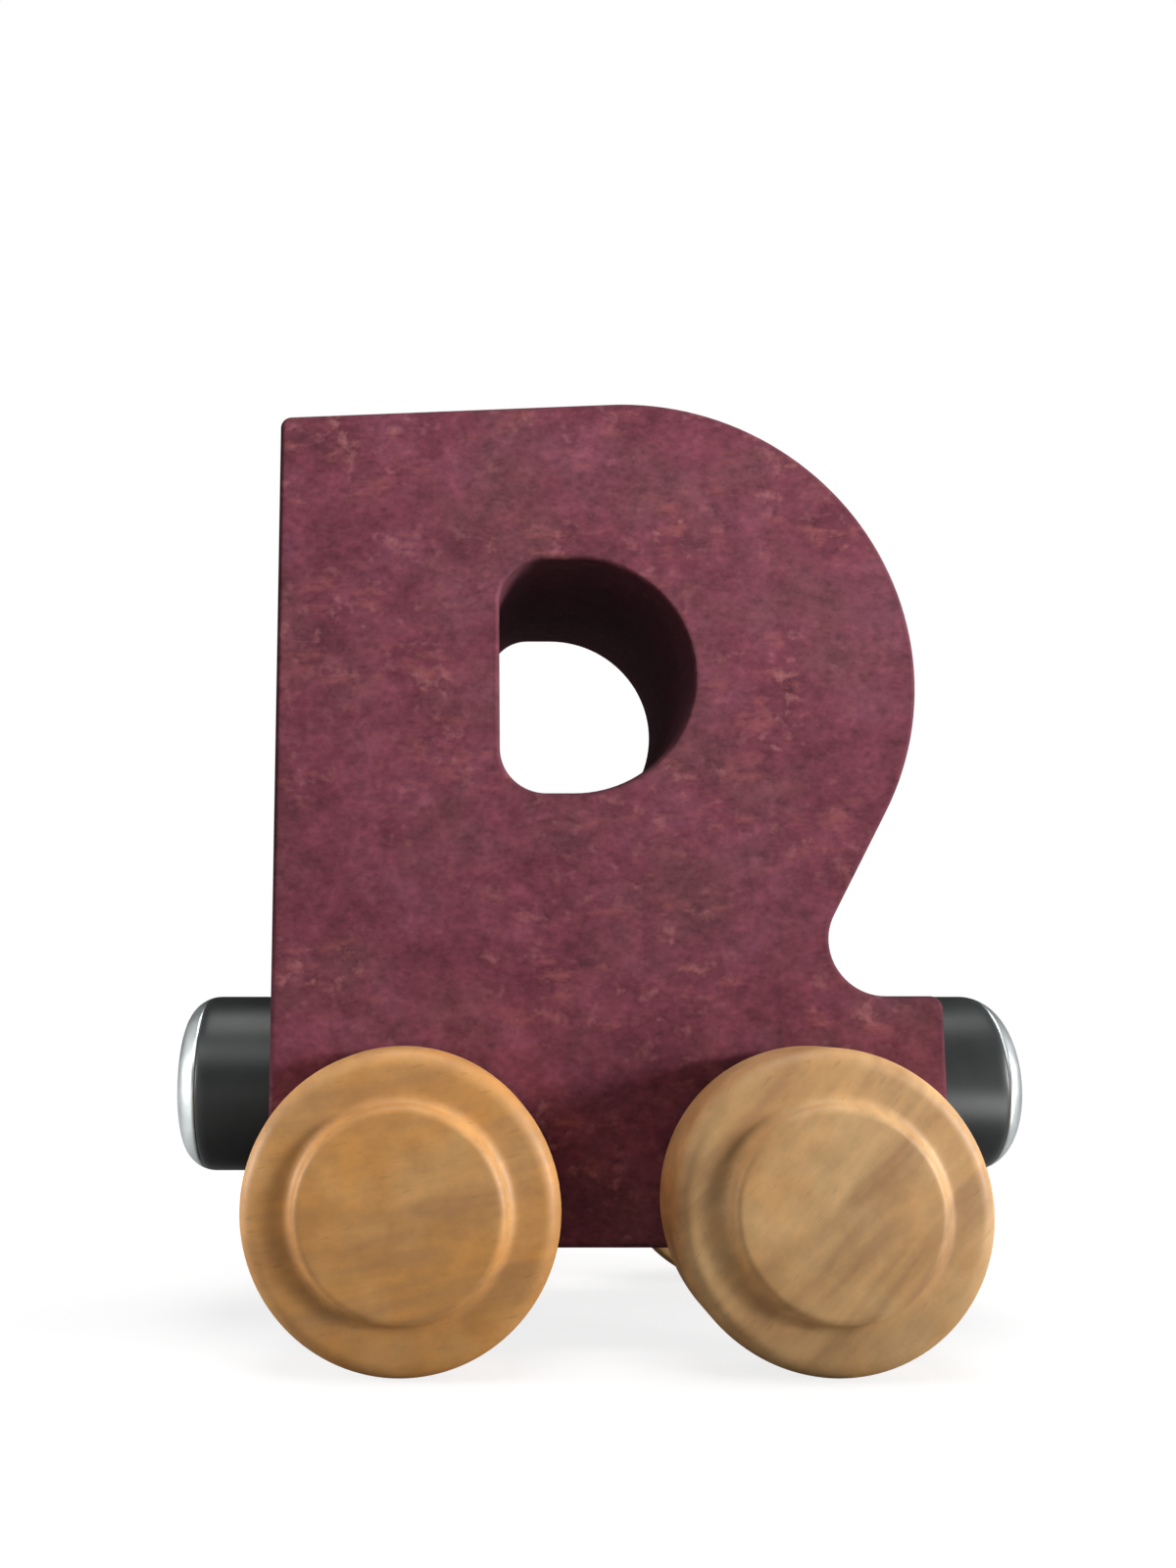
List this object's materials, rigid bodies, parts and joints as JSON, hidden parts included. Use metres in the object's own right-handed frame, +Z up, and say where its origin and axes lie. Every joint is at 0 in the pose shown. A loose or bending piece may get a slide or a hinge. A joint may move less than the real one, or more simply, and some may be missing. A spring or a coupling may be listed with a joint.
{
  "type": "letter train car",
  "caption": "Thick wooden letter R car that rolls on pressed wooden wheelsets and couples to other toy train cars by magnets at its ends.",
  "frame": {"origin": "on the floor under the middle of the car: halfway between the two coupler faces and between the two sides", "axes": "X runs along the train with the front end at -X, the letter reads from -Y, +Z is up"},
  "size_m": [0.0602, 0.0334, 0.0658],
  "materials": {
    "stained_maple": "burgundy dye stain, rubbed matt",
    "clear_maple": "turned and clear coated, satin",
    "black_plastic": "moulded, satin",
    "nickel_plate": "nickel plated steel, polished",
    "axle_steel": "drawn steel rod",
    "screw_steel": "zinc plated",
    "ferrite": "sintered, matt"
  },
  "bodies": {
    "car": {"letter": "stained_maple", "front_coupler_sleeve": "black_plastic", "front_coupler_magnet": "ferrite", "front_coupler_cap": "nickel_plate", "front_coupler_screw": "screw_steel", "rear_coupler_sleeve": "black_plastic", "rear_coupler_magnet": "ferrite", "rear_coupler_cap": "nickel_plate", "rear_coupler_screw": "screw_steel"},
    "front_wheelset": {"front_axle": "axle_steel", "front_left_wheel": "clear_maple", "front_right_wheel": "clear_maple"},
    "rear_wheelset": {"rear_axle": "axle_steel", "rear_left_wheel": "clear_maple", "rear_right_wheel": "clear_maple"}
  },
  "joints": [
    {"name": "front_wheels_roll", "type": "hinge", "parent": "car", "child": "front_wheelset", "pos_m": [-0.0137, 0, 0.01], "axis": [0, 1, 0], "continuous": true},
    {"name": "rear_wheels_roll", "type": "hinge", "parent": "car", "child": "rear_wheelset", "pos_m": [0.0131, 0, 0.01], "axis": [0, 1, 0], "continuous": true}
  ]
}
